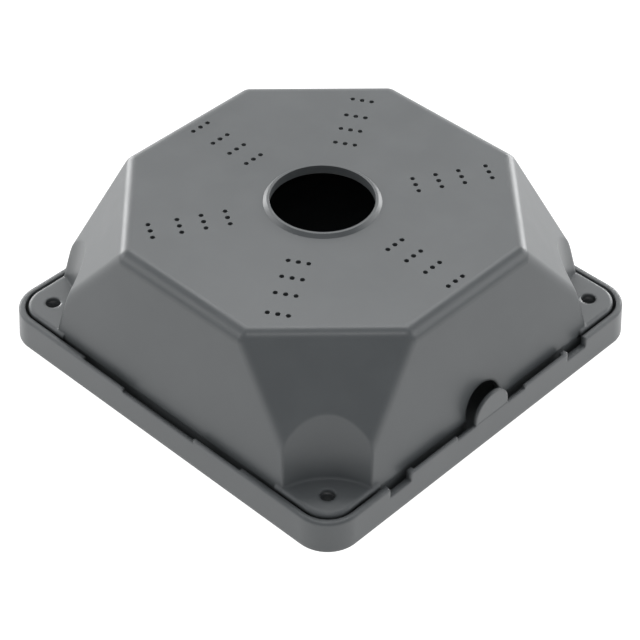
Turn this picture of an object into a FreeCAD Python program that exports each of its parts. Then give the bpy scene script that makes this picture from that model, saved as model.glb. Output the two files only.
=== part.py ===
import FreeCAD, Part
import math
import os

import Sketcher
from FreeCAD import Placement, Rotation, Vector

# A surface mounting box for a ceiling or wall camera: an octagonal hollow cover that sits in a
# square base tray. Millimetres, +Z up, origin in the middle of the tray's underside, and the
# cable tab on the -Y side.

doc = FreeCAD.newDocument("mounting_box")
sheet = doc.addObject("Spreadsheet::Sheet", "Size")

SIZES = [
    # cover: eight sided hollow frustum
    ("cover_height", 69.7, "top face above the underside of the tray"),
    ("top_inset", 15.2, "tray edge to the top face, in plan"),
    ("top_corner_inset", 55.7, "tray corner to the top face, in plan"),
    ("foot_inset", 0.55, "flange edge to the foot of a straight side"),
    ("foot_corner_inset", 8.4, "flange corner to the foot of a corner side, in plan"),
    ("wall", 2.5, "cover wall"),
    ("edge_radius", 6.5, "round of the top edges and between the sides"),
    # screw pockets scooped out of the four corners
    ("pocket_offset", 13.5, "screw hole to the axis of its scoop, along each side"),
    ("pocket_radius", 28.3, "scoop radius at its floor"),
    ("pocket_draft", 12.5, "lean of the scoop wall, degrees"),
    # corner flanges and the skirt below them
    ("flange_top", 15.5, "flange face above the underside of the tray"),
    ("flange_thickness", 2.5, "flange plate"),
    ("flange_gap", 1.4, "gap between flange and rim"),
    ("flange_corner_radius", 11.5, "flange corner in plan"),
    ("flange_lip_radius", 1.5, "round of the flange's outer edge"),
    ("flange_length", 33.8, "corner flange along each side, from the tray's edge"),
    ("flange_relief", 1.0, "depth of the relief"),
    ("skirt_wall", 2.2, "skirt that stands on the tray floor"),
    ("screw_inset", 15.3, "tray edge to the corner screw holes"),
    ("screw_hole", 6.3, "corner screw hole diameter"),
    # centre hole with a low collar
    ("bore", 43.6, "centre hole diameter"),
    ("collar_height", 1.4, "collar above the top face"),
    ("collar_lip", 1.1, "flat ring on the collar"),
    ("collar_foot", 48.8, "collar foot diameter"),
    # small pilot holes for the camera's screws
    ("pilot_hole", 2.2, "pilot hole diameter"),
    ("pilot_pitch", 4.18, "between the three holes of a row"),
    ("pilot_circle_a", 80.0, "inner screw circle"),
    ("pilot_circle_b", 100.0, "second screw circle"),
    ("pilot_circle_c", 120.0, "third screw circle"),
    ("pilot_circle_d", 144.0, "outer screw circle"),
    # base tray
    ("base_half", 95.8, "half width at the underside"),
    ("base_corner_radius", 15.0, "tray corner in plan"),
    ("rim_height", 14.5, "rim above the underside"),
    ("rim_draft", 2.57, "lean of the rim's outside, degrees"),
    ("rim_wall", 2.45, "rim at its top"),
    ("rim_edge_radius", 0.8, "round of the rim's outer top edge"),
    ("floor_thickness", 2.5, "tray floor"),
    ("floor_opening", 60.0, "cable opening in the floor, diameter"),
    ("boss_wall", 2.0, "wall round a screw hole in the tray"),
    ("rebate_inset", 49.8, "tray edge to the end of the rebate inside the rim"),
    ("rebate_width", 1.3, "rebate across the rim"),
    ("rebate_depth", 3.2, "rebate below the rim's top"),
    ("recess_half", 20.8, "half length of the step in the middle of each rim"),
    ("recess_depth", 1.6, "step below the rim's top"),
    ("notch_inset", 41.2, "tray edge to the middle of a deep notch in the front rim"),
    ("notch_width", 12.0, "deep notch along the rim"),
    ("notch_depth", 4.3, "deep notch below the rim's top"),
    # cable entry: tab in the rim and arch in the cover
    ("tab_radius", 9.8, "round top of the tab"),
    ("tab_centre", 15.0, "centre of the round above the underside"),
    ("tab_thickness", 1.4, "tab plate"),
    ("arch_clearance", 0.6, "arch larger than the tab all round"),
]

PILOT_ANGLE = 30.0      # first group of pilot holes, from +X
PILOT_SIDES = 8         # the outer two holes of a pilot row are eight sided

for row, (name, value, meaning) in enumerate(SIZES, start=1):
    sheet.set(f"A{row}", meaning)
    sheet.set(f"B{row}", str(value))
    sheet.setAlias(f"B{row}", name)
doc.recompute()

# Heights and half widths that several features share, written in the sheet's names.
UNDER_FLANGE = "(Size.flange_top - Size.flange_thickness)"
RIM_TOP_HALF = "(Size.base_half - Size.rim_height * tan(Size.rim_draft))"
RIM_INNER_HALF = f"({RIM_TOP_HALF} - Size.rim_wall)"
FLANGE_HALF = f"({RIM_INNER_HALF} - Size.flange_gap)"
SKIRT_HALF = f"({FLANGE_HALF} - Size.flange_relief)"
SKIRT_CORNER = "(Size.flange_corner_radius - Size.flange_relief)"
TOP_HALF = "(Size.base_half - Size.top_inset)"
TOP_CORNER = "(Size.base_half * sqrt(2) - Size.top_corner_inset)"
COVER_RISE = f"(Size.cover_height - {UNDER_FLANGE})"
SIDE_RUN = f"(({FLANGE_HALF} - Size.foot_inset - {TOP_HALF}) / {COVER_RISE})"
CORNER_RUN = f"(({FLANGE_HALF} * sqrt(2) - Size.foot_corner_inset - {TOP_CORNER}) / {COVER_RISE})"
SCREW_PLACE = "(Size.base_half - Size.screw_inset)"


def new_body(label):
    body = doc.addObject("PartDesign::Body", label)
    body.Label = label
    return body


def origin_plane(body, role):
    return next(o for o in body.Origin.OriginFeatures if o.Role == role)


def new_sketch(body, name, role="XY_Plane", level=None):
    sketch = body.newObject("Sketcher::SketchObject", name)
    sketch.AttachmentSupport = [(origin_plane(body, role), "")]
    sketch.MapMode = "FlatFace"
    if level is not None:
        sketch.setExpression("AttachmentOffset.Base.z", level)
    return sketch


def value_of(expression):
    """The number that an expression in the sheet's names has now."""
    probe = doc.getObject("Probe") or doc.addObject("App::FeaturePython", "Probe")
    if not hasattr(probe, "reading"):
        probe.addProperty("App::PropertyFloat", "reading")
    probe.setExpression("reading", expression)
    probe.recompute()
    return probe.reading


def polygon(sketch, corners):
    """Closed outline whose corners are pairs of expressions, each tied to the origin."""
    points = [Vector(value_of(x), value_of(y), 0) for x, y in corners]
    count = len(points)
    first = len(sketch.Geometry)
    for i in range(count):
        sketch.addGeometry(Part.LineSegment(points[i], points[(i + 1) % count]), False)
    for i in range(count):
        sketch.addConstraint(
            Sketcher.Constraint("Coincident", first + i, 2, first + (i + 1) % count, 1))
    for i, (x, y) in enumerate(corners):
        for kind, size, text in (("DistanceX", points[i].x, x), ("DistanceY", points[i].y, y)):
            index = sketch.addConstraint(
                Sketcher.Constraint(kind, -1, 1, first + i, 1, size))
            sketch.setExpression(f"Constraints[{index}]", text)
    return sketch


def rectangle(sketch, left, right, low, high):
    return polygon(sketch, [(left, low), (right, low), (right, high), (left, high)])


def rounded_square(sketch, half, radius):
    """Square outline with round corners: four arcs, joined by four tangent sides."""
    r, c = value_of(radius), value_of(half) - value_of(radius)
    first = len(sketch.Geometry)
    quarters = ((c, c), (-c, c), (-c, -c), (c, -c))
    for turn, (x, y) in enumerate(quarters):
        corner = Part.Circle(Vector(x, y, 0), Vector(0, 0, 1), r)
        start = turn * math.pi / 2
        sketch.addGeometry(Part.ArcOfCircle(corner, start, start + math.pi / 2), False)
    for turn in range(4):
        begin = sketch.getPoint(first + turn, 2)
        end = sketch.getPoint(first + (turn + 1) % 4, 1)
        side = sketch.addGeometry(Part.LineSegment(begin, end), False)
        sketch.addConstraint(Sketcher.Constraint("Tangent", first + turn, 2, side, 1))
        sketch.addConstraint(Sketcher.Constraint("Tangent", side, 2, first + (turn + 1) % 4, 1))
        sketch.addConstraint(
            Sketcher.Constraint("Horizontal" if turn % 2 == 0 else "Vertical", side))
        if turn:
            sketch.addConstraint(Sketcher.Constraint("Equal", first, first + turn))
    index = sketch.addConstraint(Sketcher.Constraint("Radius", first, r))
    sketch.setExpression(f"Constraints[{index}]", radius)
    for corner, sign, size in ((first, "", c), (first + 2, "-", -c)):
        for kind in ("DistanceX", "DistanceY"):
            index = sketch.addConstraint(Sketcher.Constraint(kind, -1, 1, corner, 3, size))
            sketch.setExpression(f"Constraints[{index}]", f"{sign}({half} - ({radius}))")
    return sketch


def circle(sketch, radius, x="0", y="0"):
    centre = Vector(value_of(x), value_of(y), 0)
    geometry = sketch.addGeometry(Part.Circle(centre, Vector(0, 0, 1), value_of(radius)), False)
    index = sketch.addConstraint(Sketcher.Constraint("Radius", geometry, value_of(radius)))
    sketch.setExpression(f"Constraints[{index}]", radius)
    if x == "0" and y == "0":
        sketch.addConstraint(Sketcher.Constraint("Coincident", geometry, 3, -1, 1))
        return sketch
    for kind, size, text in (("DistanceX", centre.x, x), ("DistanceY", centre.y, y)):
        index = sketch.addConstraint(Sketcher.Constraint(kind, -1, 1, geometry, 3, size))
        sketch.setExpression(f"Constraints[{index}]", text)
    return sketch


def many_sided(sketch, sides, radius, x, y):
    """Regular outline with its corners on a circle about x, y."""
    turns = [360 * i / sides for i in range(sides)]
    return polygon(sketch, [
        (f"{x} + {radius} * cos({turn})", f"{y} + {radius} * sin({turn})") for turn in turns])


def arch(sketch, radius, centre, foot):
    """Round-topped outline about the sketch's upright axis, with straight legs to its foot."""
    r, c, f = value_of(radius), value_of(centre), value_of(foot)
    right, left = Vector(r, f, 0), Vector(-r, f, 0)
    sketch.addGeometry(Part.LineSegment(left, right), False)
    sketch.addGeometry(Part.LineSegment(right, Vector(r, c, 0)), False)
    round_top = Part.Circle(Vector(0, c, 0), Vector(0, 0, 1), r)
    sketch.addGeometry(Part.ArcOfCircle(round_top, 0, math.pi), False)
    sketch.addGeometry(Part.LineSegment(Vector(-r, c, 0), left), False)
    for one, end, other, start in ((0, 2, 1, 1), (1, 2, 2, 1), (2, 2, 3, 1), (3, 2, 0, 1)):
        sketch.addConstraint(Sketcher.Constraint("Coincident", one, end, other, start))
    sketch.addConstraint(Sketcher.Constraint("Horizontal", 0))
    sketch.addConstraint(Sketcher.Constraint("Vertical", 1))
    sketch.addConstraint(Sketcher.Constraint("Vertical", 3))
    sketch.addConstraint(Sketcher.Constraint("PointOnObject", 2, 3, -2))
    sketch.addConstraint(Sketcher.Constraint("Horizontal", 2, 1, 2, 3))
    sketch.addConstraint(Sketcher.Constraint("Horizontal", 2, 2, 2, 3))
    for kind, args, text in (
        ("Radius", (2, r), radius),
        ("DistanceY", (-1, 1, 2, 3, c), centre),
        ("DistanceY", (-1, 1, 0, 1, f), foot),
    ):
        index = sketch.addConstraint(Sketcher.Constraint(kind, *args))
        sketch.setExpression(f"Constraints[{index}]", text)
    return sketch


def pad(body, sketch, length, reverse=False):
    feature = body.newObject("PartDesign::Pad", sketch.Name + "_pad")
    feature.Profile = sketch
    feature.Reversed = reverse
    feature.setExpression("Length", length)
    return feature


def pocket(body, sketch, length, reverse=False, both_ways=False):
    feature = body.newObject("PartDesign::Pocket", sketch.Name + "_cut")
    feature.Profile = sketch
    feature.Reversed = reverse
    feature.Midplane = both_ways
    feature.setExpression("Length", length)
    return feature


def polar(body, feature, count):
    pattern = body.newObject("PartDesign::PolarPattern", feature.Name + "_ring")
    pattern.Originals = [feature]
    pattern.Axis = (next(o for o in body.Origin.OriginFeatures if o.Role == "Z_Axis"), [""])
    pattern.Angle = 360
    pattern.Occurrences = count
    body.Tip = pattern
    doc.recompute()
    return pattern


def square_frustum(body, name, low, high, foot, top):
    """Four sided frustum on the Z axis between two levels, given by its two half widths."""
    wedge = body.newObject("PartDesign::AdditiveWedge", name)
    wedge.AttachmentSupport = [(origin_plane(body, "XY_Plane"), "")]
    wedge.MapMode = "FlatFace"
    wedge.AttachmentOffset = Placement(Vector(), Rotation(Vector(1, 0, 0), 90))
    wedge.setExpression("AttachmentOffset.Base.z", low)
    wedge.Ymin = 0
    wedge.setExpression("Ymax", f"{high} - {low}")
    for axis in ("X", "Z"):
        wedge.setExpression(f"{axis}min", f"-{foot}")
        wedge.setExpression(f"{axis}max", foot)
        wedge.setExpression(f"{axis}2min", f"-{top}")
        wedge.setExpression(f"{axis}2max", top)
    return wedge


def eight_sided(body, name, high, inset="0 * Size.wall"):
    """The cover's frustum up to a level, with every side moved in by the inset."""
    def half(level):
        return (f"({TOP_HALF} + (Size.cover_height - {level}) * {SIDE_RUN}"
                f" - {inset} * sqrt(1 + {SIDE_RUN} ^ 2))")

    def corner(level):
        return (f"({TOP_CORNER} + (Size.cover_height - {level}) * {CORNER_RUN}"
                f" - {inset} * sqrt(1 + {CORNER_RUN} ^ 2))")

    square_frustum(body, name, UNDER_FLANGE, high, half(UNDER_FLANGE), half(high))
    slope = new_sketch(body, name + "_corner", "XZ_Plane")
    slope.AttachmentOffset = Placement(Vector(), Rotation(Vector(0, 1, 0), 45))
    below = f"({UNDER_FLANGE} - Size.wall)"
    above = f"({high} + Size.wall)"
    polygon(slope, [
        (corner(below), below),
        (f"2 * {half(below)}", below),
        (f"2 * {half(below)}", above),
        (corner(above), above),
    ])
    return polar(body, pocket(body, slope, f"4 * {half(below)}", both_ways=True), 4)


def round_edges(body, name, base, radius, wanted):
    """Fillet the edges of a feature for which wanted(edge) is true."""
    doc.recompute()
    names = [f"Edge{i}" for i, e in enumerate(base.Shape.Edges, start=1) if wanted(e)]
    feature = body.newObject("PartDesign::Fillet", name)
    feature.Base = (base, names)
    feature.setExpression("Radius", radius)
    doc.recompute()
    return feature


def scoop(body, name, offset="0"):
    """One corner scoop: a widening cone about an upright axis, repeated at all four corners."""
    low = f"({UNDER_FLANGE} - Size.wall)"
    high = "(Size.cover_height + Size.collar_height)"
    cone = body.newObject("PartDesign::SubtractiveCone", name)
    cone.AttachmentSupport = [(origin_plane(body, "XY_Plane"), "")]
    cone.MapMode = "FlatFace"
    for axis in ("x", "y"):
        cone.setExpression(f"AttachmentOffset.Base.{axis}", f"{SCREW_PLACE} + Size.pocket_offset")
    cone.setExpression("AttachmentOffset.Base.z", low)
    for property_name, level in (("Radius1", low), ("Radius2", high)):
        cone.setExpression(property_name, "Size.pocket_radius + "
                           f"({level} - Size.flange_top) * tan(Size.pocket_draft) + {offset}")
    cone.setExpression("Height", f"{high} - {low}")
    return polar(body, cone, 4)


def span(edge):
    box = edge.BoundBox
    return box.XLength, box.YLength, box.ZLength


def is_upright(edge):
    """An edge that climbs and hardly moves sideways."""
    x, y, z = span(edge)
    return math.hypot(x, y) < z


def is_level_at(edge, level):
    return edge.BoundBox.ZLength < 1e-6 and abs(edge.BoundBox.ZMax - level) < 1e-6


def make_flange():
    """Flange plate with a round lip, relieved between the corners, and the skirt below it."""
    body = new_body("cover_flange")
    outline = rounded_square(new_sketch(body, "flange_outline", level=UNDER_FLANGE),
                             FLANGE_HALF, "Size.flange_corner_radius")
    plate = pad(body, outline, "Size.flange_thickness")
    top = value_of("Size.flange_top")
    round_edges(body, "flange_lip", plate, "Size.flange_lip_radius",
                lambda e: is_level_at(e, top))
    strip = rectangle(new_sketch(body, "flange_relief_outline", level=UNDER_FLANGE),
                      "-Size.base_half + Size.flange_length", "Size.base_half - Size.flange_length",
                      SKIRT_HALF, f"({FLANGE_HALF} + Size.flange_relief)")
    polar(body, pocket(body, strip, "Size.flange_thickness", reverse=True), 4)

    ring = new_sketch(body, "skirt_outline", level="Size.floor_thickness")
    rounded_square(ring, SKIRT_HALF, SKIRT_CORNER)
    rounded_square(ring, f"({SKIRT_HALF} - Size.skirt_wall)", f"({SKIRT_CORNER} - Size.skirt_wall)")
    pad(body, ring, f"{UNDER_FLANGE} - Size.floor_thickness")

    hole = circle(new_sketch(body, "screw_hole_outline", level="Size.flange_top"),
                  "Size.screw_hole / 2", SCREW_PLACE, SCREW_PLACE)
    polar(body, pocket(body, hole, "Size.flange_top"), 4)
    return body


def make_cover_form():
    """The outside of the cover, solid: frustum, scoops, collar, centre hole and pilot holes."""
    body = new_body("cover_form")
    frustum = eight_sided(body, "frustum", "Size.cover_height")
    height = value_of("Size.cover_height")
    round_edges(body, "frustum_edges", frustum, "Size.edge_radius",
                lambda e: is_level_at(e, height) or span(e)[2] > height / 2)
    scoop(body, "screw_pocket")

    collar = polygon(new_sketch(body, "collar_outline", "XZ_Plane"), [
        ("Size.bore / 4", "Size.cover_height - Size.wall"),
        ("Size.collar_foot / 2", "Size.cover_height - Size.wall"),
        ("Size.collar_foot / 2", "Size.cover_height"),
        ("Size.bore / 2 + Size.collar_lip", "Size.cover_height + Size.collar_height"),
        ("Size.bore / 4", "Size.cover_height + Size.collar_height"),
    ])
    turned = body.newObject("PartDesign::Revolution", "collar")
    turned.Profile = collar
    turned.ReferenceAxis = (collar, ["V_Axis"])
    turned.Angle = 360

    bore = circle(new_sketch(body, "bore_outline", level="Size.cover_height + Size.collar_height"),
                  "Size.bore / 2")
    pocket(body, bore, "2 * Size.wall + Size.collar_height")

    rows = new_sketch(body, "pilot_outline", level="Size.cover_height")
    turn = rows.AttachmentOffset
    turn.Rotation = Rotation(Vector(0, 0, 1), PILOT_ANGLE)
    rows.AttachmentOffset = turn
    for name in ("a", "b", "c", "d"):
        middle = f"Size.pilot_circle_{name} / 2"
        circle(rows, "Size.pilot_hole / 2", middle)
        for sign in ("-", ""):
            many_sided(rows, PILOT_SIDES, "Size.pilot_hole / 2", middle,
                       f"{sign}Size.pilot_pitch")
    polar(body, pocket(body, rows, "2 * Size.wall"), 6)
    return body


def make_cable_arch():
    """The arched way through the front wall and skirt, as a solid to cut with."""
    body = new_body("cable_arch")
    outline = arch(new_sketch(body, "cable_arch_outline", "XZ_Plane"),
                   "Size.tab_radius + Size.arch_clearance", "Size.tab_centre",
                   "Size.floor_thickness / 2")
    pad(body, outline, "Size.base_half")
    return body


def make_cover_hollow():
    """The space inside the cover, one wall in from its outside all round."""
    body = new_body("cover_hollow")
    eight_sided(body, "hollow", "(Size.cover_height - Size.wall)", "Size.wall")
    scoop(body, "pocket_wall", "Size.wall")
    return body


def make_cover():
    form = make_cover_form()
    flange = make_flange()
    hollow = make_cover_hollow()
    cable_arch = make_cable_arch()
    outside = doc.addObject("Part::Fuse", "cover_outside")
    outside.Base = form
    outside.Tool = flange
    shell = doc.addObject("Part::Cut", "cover_shell")
    shell.Base = outside
    shell.Tool = hollow
    cover = doc.addObject("Part::Cut", "cover")
    cover.Label = "cover"
    cover.Base = shell
    cover.Tool = cable_arch
    return cover


def make_base():
    """The square tray: floor with a cable opening, drafted rim, screw bosses and cable tab."""
    body = new_body("base")
    block = square_frustum(body, "tray", "0 * Size.rim_height", "Size.rim_height",
                           "Size.base_half", RIM_TOP_HALF)
    block = round_edges(body, "tray_corners", block, "Size.base_corner_radius", is_upright)
    top = value_of("Size.rim_height")
    round_edges(body, "rim_edge", block, "Size.rim_edge_radius", lambda e: is_level_at(e, top))

    inside = rounded_square(new_sketch(body, "tray_hollow_outline", level="Size.rim_height"),
                            RIM_INNER_HALF, "(Size.flange_corner_radius + Size.flange_gap)")
    pocket(body, inside, "Size.rim_height - Size.floor_thickness")

    opening = circle(new_sketch(body, "floor_opening_outline", level="Size.floor_thickness"),
                     "Size.floor_opening / 2")
    pocket(body, opening, "Size.floor_thickness")

    boss = circle(new_sketch(body, "boss_outline", level="Size.floor_thickness"),
                  "Size.screw_hole / 2 + Size.boss_wall",
                  SCREW_PLACE, SCREW_PLACE)
    polar(body, pad(body, boss, f"{UNDER_FLANGE} - Size.floor_thickness"), 4)
    hole = circle(new_sketch(body, "boss_hole_outline", level=UNDER_FLANGE),
                  "Size.screw_hole / 2", SCREW_PLACE, SCREW_PLACE)
    polar(body, pocket(body, hole, UNDER_FLANGE), 4)

    rebate = rectangle(new_sketch(body, "rebate_outline", level="Size.rim_height"),
                       "-Size.base_half + Size.rebate_inset", "Size.base_half - Size.rebate_inset",
                       f"{RIM_INNER_HALF} - Size.rebate_width",
                       f"{RIM_INNER_HALF} + Size.rebate_width")
    polar(body, pocket(body, rebate, "Size.rebate_depth"), 4)

    recess = rectangle(new_sketch(body, "recess_outline", level="Size.rim_height"),
                       "-Size.recess_half", "Size.recess_half",
                       f"{RIM_INNER_HALF} - Size.rebate_width",
                       "Size.base_half + Size.rebate_width")
    polar(body, pocket(body, recess, "Size.recess_depth"), 4)

    notches = new_sketch(body, "notch_outline", level="Size.rim_height")
    for sign in ("-", ""):
        middle = f"{sign}(Size.base_half - Size.notch_inset)"
        rectangle(notches, f"{middle} - Size.notch_width / 2", f"{middle} + Size.notch_width / 2",
                  "-Size.base_half - Size.rebate_width",
                  f"-{RIM_INNER_HALF} + Size.rebate_width")
    pocket(body, notches, "Size.notch_depth")

    tab = arch(new_sketch(body, "tab_outline", "XZ_Plane", level=RIM_TOP_HALF),
               "Size.tab_radius", "Size.tab_centre", "Size.floor_thickness")
    pad(body, tab, "Size.tab_thickness", reverse=True)
    return body


cover = make_cover()
base = make_base()
doc.recompute()

failed = [o.Label for o in doc.Objects if "Invalid" in o.State or "Error" in o.State]
if failed:
    raise RuntimeError("features that failed: " + ", ".join(failed))

os.makedirs("parts", exist_ok=True)
for piece in (cover, base):
    shape = piece.Shape
    if shape.isNull() or not shape.isValid() or len(shape.Solids) != 1:
        raise RuntimeError(f"{piece.Label} is not one valid solid")
    shape.exportStep(os.path.join("parts", piece.Label + ".step"))
    box = shape.BoundBox
    print(f"{piece.Label}: {shape.Volume / 1000:.1f} cm3, "
          f"{box.XLength:.1f} x {box.YLength:.1f} x {box.ZLength:.1f} mm, "
          f"z {box.ZMin:.2f} to {box.ZMax:.2f}")
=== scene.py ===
import math
from typing import NamedTuple

import bpy
from mathutils import Matrix, Vector


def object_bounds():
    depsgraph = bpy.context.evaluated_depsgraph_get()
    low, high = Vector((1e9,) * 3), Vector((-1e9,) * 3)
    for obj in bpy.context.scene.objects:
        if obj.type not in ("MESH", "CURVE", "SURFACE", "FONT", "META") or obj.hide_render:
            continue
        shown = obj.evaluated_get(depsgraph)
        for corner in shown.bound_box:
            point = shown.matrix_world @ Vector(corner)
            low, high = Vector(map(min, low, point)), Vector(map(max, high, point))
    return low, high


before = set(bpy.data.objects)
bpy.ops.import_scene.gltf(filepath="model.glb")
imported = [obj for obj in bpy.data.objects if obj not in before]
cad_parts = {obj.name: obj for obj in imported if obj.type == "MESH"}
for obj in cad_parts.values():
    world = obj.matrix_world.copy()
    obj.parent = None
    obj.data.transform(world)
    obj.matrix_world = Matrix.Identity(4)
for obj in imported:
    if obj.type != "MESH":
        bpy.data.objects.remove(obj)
cad_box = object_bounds()

MM = 0.001


class Pattern(NamedTuple):
    """A noise pattern, its scale counted in features to the metre."""
    scale: float
    detail: float
    roughness: float


class SoftBox(NamedTuple):
    """A light that faces the object. Azimuth is in degrees from the camera's side, lengths in metres."""
    azimuth: float
    distance: float
    height: float
    wide: float
    tall: float
    watts: float


# The photograph's camera, in metres and degrees.
CAMERA_PLACE = Vector((-0.4972, -0.4699, 0.6136))
CAMERA_AZIMUTH = 46.573
CAMERA_ELEVATION = 41.678
CAMERA_ROLL = 0.603
CAMERA_NEAR = 0.01
LENS_MM = 120.2
SENSOR_MM = 36.0

# Colours are linear.
PLASTIC = (0.088, 0.094, 0.096)
PLASTIC_PALE = (0.112, 0.120, 0.122)
PLASTIC_DEEP = (0.070, 0.076, 0.078)
PLASTIC_IOR = 1.52
DEEP_SHARE = 0.5
PALE_SHARE = 0.25
DULLNESS = (0.32, 0.38)

# The seed moves the patterns, so that the two mouldings differ.
SEEDS = {"cover": 3.1, "base": 7.7}
SEED_SHIFT = (1.0, 0.37, 0.71)
CLOUDS = Pattern(scale=14.0, detail=3.0, roughness=0.55)
FLOW = Pattern(scale=55.0, detail=5.0, roughness=0.6)
FINE = Pattern(scale=900.0, detail=3.0, roughness=0.6)
GRAIN = Pattern(scale=2600.0, detail=2.0, roughness=0.5)
CLOUD_RANGE = (0.35, 0.65)
STREAK_RANGE = (0.45, 0.75)
DULL_RANGE = (0.3, 0.7)
GRAIN_STRENGTH = 0.10
GRAIN_DEPTH = 0.05 * MM
FINE_STRENGTH = 0.12
FINE_DEPTH = 0.06 * MM

# Moulded edges are rounded in shading by this much, and less near the top face.
EDGE_SOFTNESS = 2.0 * MM
HOLE_SOFTNESS = 0.25 * MM
SOFT_EDGE_TOP = 60 * MM
SOFT_EDGE_FADE = 10 * MM
SOFT_EDGE_SAMPLES = 6

# The floor runs back flat and then curves up, in metres.
FLOOR_HALF = 3.0
FLOOR_BACK = 2.2
FLOOR_RISE = 2.0
FLOOR_STEPS = 16
FLOOR_WHITE = (0.25, 0.25, 0.25)
FLOOR_DULLNESS = 0.9
FLOOR_SHEEN = 0.1
FLOOR_GLOW = 1.0

SKY_COOL = (0.95, 0.985, 1.04)
WORLD_LIGHT = 0.38
LIGHTS_AIM = Vector((0, 0, 40 * MM))
OVERHEAD = SoftBox(azimuth=180, distance=0.86, height=1.28, wide=1.2, tall=0.45, watts=7.5)
FRONT_TOP = SoftBox(azimuth=0, distance=0.5, height=1.5, wide=0.9, tall=0.25, watts=2.8)
SIDE = SoftBox(azimuth=100, distance=1.4, height=0.7, wide=1.2, tall=0.9, watts=7.2)
BACK = SoftBox(azimuth=142, distance=1.6, height=0.35, wide=0.9, tall=0.6, watts=12.5)


def noise(tree, coordinates, pattern):
    node = tree.nodes.new("ShaderNodeTexNoise")
    node.inputs["Scale"].default_value = pattern.scale
    node.inputs["Detail"].default_value = pattern.detail
    node.inputs["Roughness"].default_value = pattern.roughness
    tree.links.new(coordinates, node.inputs["Vector"])
    return node.outputs["Fac"]


def ramp(tree, value, between, greys):
    """Turns a value between two limits into one between the two greys."""
    node = tree.nodes.new("ShaderNodeValToRGB")
    tree.links.new(value, node.inputs["Fac"])
    for element, position, grey in zip(node.color_ramp.elements, between, greys):
        element.position = position
        element.color = (grey, grey, grey, 1.0)
    return node.outputs["Color"]


def colour_sockets(sockets, name):
    return [socket for socket in sockets if socket.name == name and socket.type == "RGBA"]


def blend(tree, factor, colour, other):
    """Blends a colour, which may be a socket, with another that is fixed."""
    node = tree.nodes.new("ShaderNodeMix")
    node.data_type = "RGBA"
    tree.links.new(factor, node.inputs["Factor"])
    first = colour_sockets(node.inputs, "A")[0]
    if isinstance(colour, tuple):
        first.default_value = (*colour, 1.0)
    else:
        tree.links.new(colour, first)
    colour_sockets(node.inputs, "B")[0].default_value = (*other, 1.0)
    return colour_sockets(node.outputs, "Result")[0]


def bump(tree, height, strength, depth, normal):
    node = tree.nodes.new("ShaderNodeBump")
    node.inputs["Strength"].default_value = strength
    node.inputs["Distance"].default_value = depth
    tree.links.new(height, node.inputs["Height"])
    tree.links.new(normal, node.inputs["Normal"])
    return node.outputs["Normal"]


def soft_edges(tree, place):
    """A normal that rounds moulded edges: widely low on the walls, barely round the small holes."""
    height = tree.nodes.new("ShaderNodeSeparateXYZ")
    tree.links.new(place, height.inputs["Vector"])
    radius = tree.nodes.new("ShaderNodeMapRange")
    radius.inputs["From Min"].default_value = SOFT_EDGE_TOP - SOFT_EDGE_FADE
    radius.inputs["From Max"].default_value = SOFT_EDGE_TOP
    radius.inputs["To Min"].default_value = EDGE_SOFTNESS
    radius.inputs["To Max"].default_value = HOLE_SOFTNESS
    tree.links.new(height.outputs["Z"], radius.inputs["Value"])
    node = tree.nodes.new("ShaderNodeBevel")
    node.samples = SOFT_EDGE_SAMPLES
    tree.links.new(radius.outputs["Result"], node.inputs["Radius"])
    return node.outputs["Normal"]


def moulded_plastic(name, seed):
    """Satin moulded plastic: faint clouds in the colour and a fine spark-eroded grain."""
    material = bpy.data.materials.new(name)
    material.use_nodes = True
    tree = material.node_tree
    shader = tree.nodes["Principled BSDF"]
    place = tree.nodes.new("ShaderNodeTexCoord").outputs["Object"]
    shift = tree.nodes.new("ShaderNodeMapping")
    shift.inputs["Location"].default_value = [seed * share for share in SEED_SHIFT]
    tree.links.new(place, shift.inputs["Vector"])
    here = shift.outputs["Vector"]
    flow = noise(tree, here, FLOW)

    clouds = ramp(tree, noise(tree, here, CLOUDS), CLOUD_RANGE, (0.0, DEEP_SHARE))
    colour = blend(tree, clouds, PLASTIC, PLASTIC_DEEP)
    streaks = ramp(tree, flow, STREAK_RANGE, (0.0, PALE_SHARE))
    colour = blend(tree, streaks, colour, PLASTIC_PALE)
    tree.links.new(colour, shader.inputs["Base Color"])

    tree.links.new(ramp(tree, flow, DULL_RANGE, DULLNESS), shader.inputs["Roughness"])
    shader.inputs["IOR"].default_value = PLASTIC_IOR
    rounded = soft_edges(tree, place)
    grained = bump(tree, noise(tree, here, GRAIN), GRAIN_STRENGTH, GRAIN_DEPTH, rounded)
    normal = bump(tree, noise(tree, here, FINE), FINE_STRENGTH, FINE_DEPTH, grained)
    tree.links.new(normal, shader.inputs["Normal"])
    return material


def dress(node_name, material):
    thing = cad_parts[node_name]
    thing.data.materials.clear()
    thing.data.materials.append(material)


def floor_material():
    material = bpy.data.materials.new("floor_white")
    material.use_nodes = True
    shader = material.node_tree.nodes["Principled BSDF"]
    shader.inputs["Base Color"].default_value = (*FLOOR_WHITE, 1.0)
    shader.inputs["Roughness"].default_value = FLOOR_DULLNESS
    shader.inputs["Specular IOR Level"].default_value = FLOOR_SHEEN
    shader.inputs["Emission Color"].default_value = (1.0, 1.0, 1.0, 1.0)
    shader.inputs["Emission Strength"].default_value = FLOOR_GLOW
    return material


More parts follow.
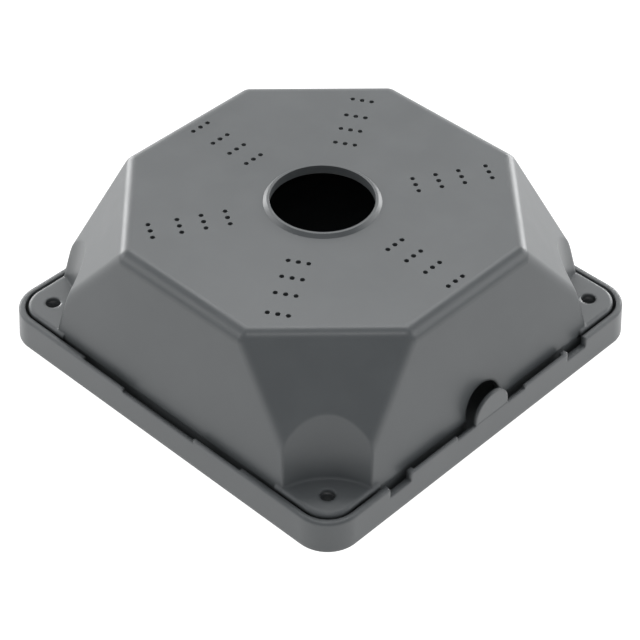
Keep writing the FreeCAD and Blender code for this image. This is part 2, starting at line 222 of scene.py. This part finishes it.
def make_floor():
    """A pale floor that curves up into a backdrop far behind the object."""
    low = cad_box[0].z
    outline = [(-FLOOR_HALF, low), (FLOOR_BACK, low)]
    for step in range(1, FLOOR_STEPS + 1):
        turn = step / FLOOR_STEPS * math.pi / 2
        along = FLOOR_BACK + FLOOR_RISE * math.sin(turn)
        outline.append((along, low + FLOOR_RISE * (1 - math.cos(turn))))
    outline.append((FLOOR_BACK + FLOOR_RISE, low + 2 * FLOOR_RISE))
    points = [(side, along, height) for along, height in outline for side in (-FLOOR_HALF, FLOOR_HALF)]
    faces = [(i, i + 1, i + 3, i + 2) for i in range(0, len(points) - 2, 2)]
    mesh = bpy.data.meshes.new("floor")
    mesh.from_pydata(points, [], faces)
    mesh.polygons.foreach_set("use_smooth", [True] * len(faces))
    mesh.materials.append(floor_material())
    floor = bpy.data.objects.new("floor", mesh)
    floor.matrix_world = Matrix.Rotation(math.radians(-CAMERA_AZIMUTH), 4, "Z")
    bpy.context.collection.objects.link(floor)


def softbox(name, box, side=1):
    """Puts a light round the object, to the camera's right, or to its left with side -1."""
    data = bpy.data.lights.new(name, "AREA")
    data.shape = "RECTANGLE"
    data.size = box.wide
    data.size_y = box.tall
    data.energy = box.watts
    turn = math.radians(side * box.azimuth) + math.atan2(CAMERA_PLACE.y, CAMERA_PLACE.x)
    light = bpy.data.objects.new(name, data)
    light.visible_camera = False
    light.location = (math.cos(turn) * box.distance, math.sin(turn) * box.distance, box.height)
    light.rotation_mode = "QUATERNION"
    light.rotation_quaternion = (LIGHTS_AIM - light.location).to_track_quat("-Z", "Y")
    bpy.context.collection.objects.link(light)


def make_lights():
    world = bpy.data.worlds.new("studio")
    world.use_nodes = True
    background = world.node_tree.nodes["Background"]
    background.inputs["Color"].default_value = (*SKY_COOL, 1.0)
    background.inputs["Strength"].default_value = WORLD_LIGHT
    bpy.context.scene.world = world
    softbox("overhead", OVERHEAD)
    softbox("front_top", FRONT_TOP)
    for name, side in (("left", -1), ("right", 1)):
        softbox(name + "_side", SIDE, side)
        softbox(name + "_back", BACK, side)


def make_camera():
    data = bpy.data.cameras.new("camera")
    data.lens = LENS_MM
    data.sensor_width = SENSOR_MM
    data.clip_start = CAMERA_NEAR
    camera = bpy.data.objects.new("camera", data)
    bpy.context.collection.objects.link(camera)
    turn = (Matrix.Rotation(math.radians(-CAMERA_AZIMUTH), 4, "Z")
            @ Matrix.Rotation(math.radians(90 - CAMERA_ELEVATION), 4, "X")
            @ Matrix.Rotation(math.radians(CAMERA_ROLL), 4, "Z"))
    camera.matrix_world = Matrix.Translation(CAMERA_PLACE) @ turn
    bpy.context.scene.camera = camera
    bpy.context.scene.view_settings.view_transform = "Standard"


for node_name, seed in SEEDS.items():
    dress(node_name, moulded_plastic(node_name + "_plastic", seed))
make_floor()
make_lights()
make_camera()
